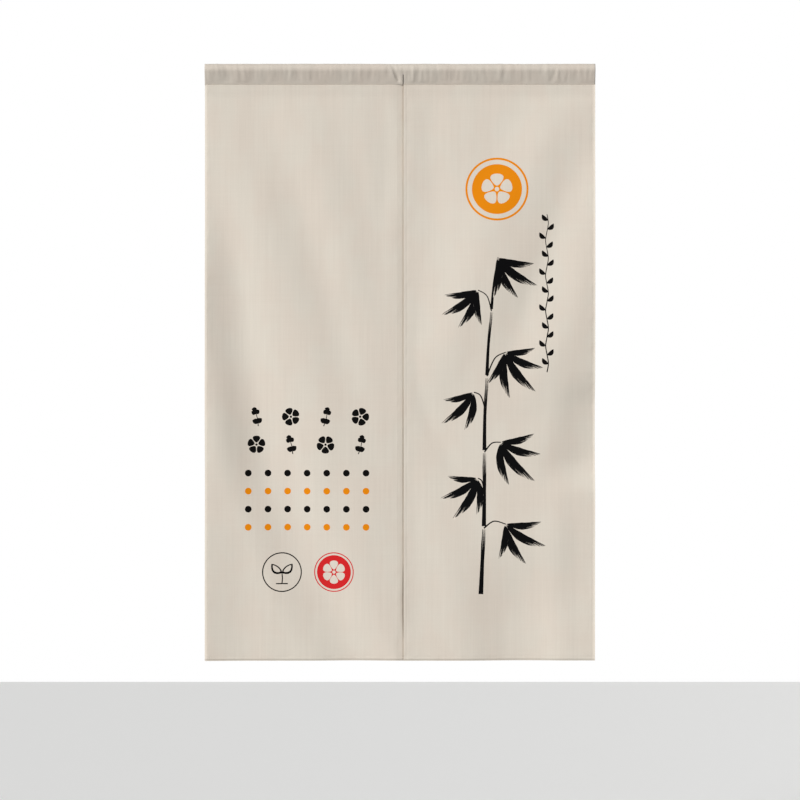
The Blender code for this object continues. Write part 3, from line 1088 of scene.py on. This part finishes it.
def dry_brush(n):
    """How well the brush covers the cloth: fully at first, in streaks towards a stroke's end."""
    place, along, across = uv_place(n, "brush")
    streaks = n.noise(place, STREAK_SCALE, 4.0, 0.62)
    dryness = n.ramp(along, *DRY_ALONG)
    edge = n.ramp(n.math("ABSOLUTE", across), *DRY_ACROSS)
    limit = n.weigh(dryness, DRY_LIMIT, n.weigh(edge, EDGE_LIMIT, WET_LIMIT))
    return n.ramp(n.math("SUBTRACT", streaks, limit), *STREAK_SOFTNESS)


def cloth_material(name, group, light, dark, ink=None, brush=False):
    """Woven cloth between two tones, bare or under an ink that the weave shows through."""
    material, n, shader = new_material(name)
    weave = n.add("Group", node_tree=group).outputs
    colour = n.blend("MIX", n.ramp(weave["Shade"], *SHADE_RANGE), dark, light)
    colour = n.blend("MULTIPLY", n.ramp(weave["Mottle"], *MOTTLE_RANGE), colour, MOTTLE_TINT)
    finish = BARE_FINISH
    if ink is not None:
        finish = INK_FINISH
        cover = n.weigh(weave["Height"], INK_COVER_BY_HEIGHT, INK_COVER)
        if brush:
            cover = n.math("MULTIPLY", cover, dry_brush(n))
        colour = n.blend("MIX", n.ramp(cover, 0.0, 1.0), colour, ink)
    n.feed(shader, {"Base Color": colour, **finish, "Sheen Roughness": 0.6})
    n.bump(shader, weave["Height"], WEAVE_STRENGTH if ink is None else INKED_WEAVE_STRENGTH, WEAVE_DEPTH)
    return material


def thread_material():
    """Polyester sewing thread, a little paler and glossier than the cloth."""
    material, n, shader = new_material("sewing_thread")
    place = n.add("TexCoord").outputs["Object"]
    fibres = n.noise(place, (2500.0, 2500.0, 2500.0), 1.0, 0.5)
    n.feed(shader, {"Base Color": n.blend("MIX", fibres, THREAD_DARK, THREAD_LIGHT), "Roughness": 0.55})
    n.bump(shader, fibres, 0.3, 0.0001)
    return material


def panel_materials(group):
    """One material for each ink, in the order of INKS."""
    made = [cloth_material("panel_cloth", group, CLOTH_LIGHT, CLOTH_DARK)]
    for ink, tone in INK_TONES.items():
        made.append(cloth_material(f"ink_{ink}", group, CLOTH_LIGHT, CLOTH_DARK, tone, ink == "brush"))
    return made


# Studio

FLOOR_DROP = 1.96
FLOOR_BACK = 7.0
FLOOR_FRONT = 16.0
FLOOR_HALF_WIDTH = 10.0
FLOOR_COLOUR = (0.86, 0.86, 0.85, 1.0)

# The world's light from straight below to straight above, as height and level, and its strength
SKY_LEVELS = [(0.00, 1.00), (0.45, 0.9), (0.55, 0.76), (0.8, 0.62), (1.00, 0.5)]
SKY_STRENGTH = 0.42

# Even, soft lights: name, direction from the curtain to the light, strength, and angle in radians
SUNS = [
    ("key", (-0.61, -0.66, 0.44), 3.1, 0.55),
    ("overhead", (0.0, -0.3, 0.95), 0.18, 0.6),
    ("back_fill", (0.45, 0.85, 0.25), 1.1, 0.7),
]


def build_world():
    """White to the camera; as a light, soft and fading from below to overhead."""
    world = bpy.data.worlds.new("studio")
    bpy.context.scene.world = world
    world.use_nodes = True
    world.node_tree.nodes.clear()
    n = Nodes(world.node_tree)
    split = n.add("SeparateXYZ", {0: n.add("TexCoord").outputs["Generated"]})
    ramp = n.add("ValToRGB", {"Fac": n.weigh(split.outputs["Z"], 0.5, 0.5)})
    elements = ramp.color_ramp.elements
    for _ in SKY_LEVELS[len(elements):]:
        elements.new(0.5)
    for element, (position, level) in zip(elements, SKY_LEVELS):
        element.position = position
        element.color = (level, level, level, 1.0)
    soft = n.add("Background", {"Color": ramp.outputs["Color"], "Strength": SKY_STRENGTH})
    white = n.add("Background", {"Color": (1.0, 1.0, 1.0, 1.0), "Strength": 1.0})
    seen = n.add("LightPath").outputs["Is Camera Ray"]
    mix = n.add("MixShader", {0: seen, 1: soft.outputs[0], 2: white.outputs[0]})
    n.add("OutputWorld", {"Surface": mix.outputs[0]})


def build_studio():
    """Floor, lights, world and the photograph's straight view."""
    paint, n, shader = new_material("pale_floor")
    n.feed(shader, {"Base Color": FLOOR_COLOUR, "Roughness": 0.7})
    corners = [(-1, -FLOOR_FRONT), (1, -FLOOR_FRONT), (1, FLOOR_BACK), (-1, FLOOR_BACK)]
    points = [(side * FLOOR_HALF_WIDTH, y, height_of(FLOOR_DROP)) for side, y in corners]
    floor = add_mesh("floor", points, [(0, 1, 2, 3)], [paint])
    floor.visible_diffuse = False
    for name, towards, strength, angle in SUNS:
        light = bpy.data.lights.new(name, "SUN")
        light.energy, light.angle = strength, angle
        add_object(name, light).rotation_euler = Vector(towards).to_track_quat("Z", "Y").to_euler()
    build_world()
    scene = bpy.context.scene
    camera_data = bpy.data.cameras.new("camera")
    camera_data.sensor_width = SENSOR_WIDTH
    camera_data.lens = SENSOR_WIDTH * CAMERA_DISTANCE / (FRAME_PIXELS * METRES_PER_PIXEL)
    camera = add_object("camera", camera_data)
    camera.location = (0.0, -CAMERA_DISTANCE, height_of(0.5 * CURTAIN_DROP) - VIEW_CENTRE_BELOW_MIDDLE)
    camera.rotation_euler = (0.5 * pi, 0.0, 0.0)
    scene.camera = camera
    scene.view_settings.view_transform = "Standard"
    scene.view_settings.look = "None"


def main():
    group = weave_group()
    inks = panel_materials(group)
    thread = thread_material()
    # The pocket's cloth takes the darker heading tones, which are painted shade.
    pocket = build_pocket(cloth_material("heading_cloth", group, SHADED_HEADING_LIGHT, SHADED_HEADING_DARK))
    left_patches = [black_ring(), red_disc(), dots(), small_motifs()]
    right_patches = [sun() + bamboo() + vine()]
    sewn = []
    for panel, motifs in zip(PANELS, (left_patches, right_patches)):
        cloth = build_panel(panel, motifs, inks)
        stitches = panel_stitches(panel, thread)
        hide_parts(panel.node)
        sewn.append((cloth, stitches))
    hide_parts("heading")
    seam = pocket_stitches(thread)
    for piece in [pocket, seam] + [piece for pair in sewn for piece in pair]:
        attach(piece, "root")
    build_studio()


main()
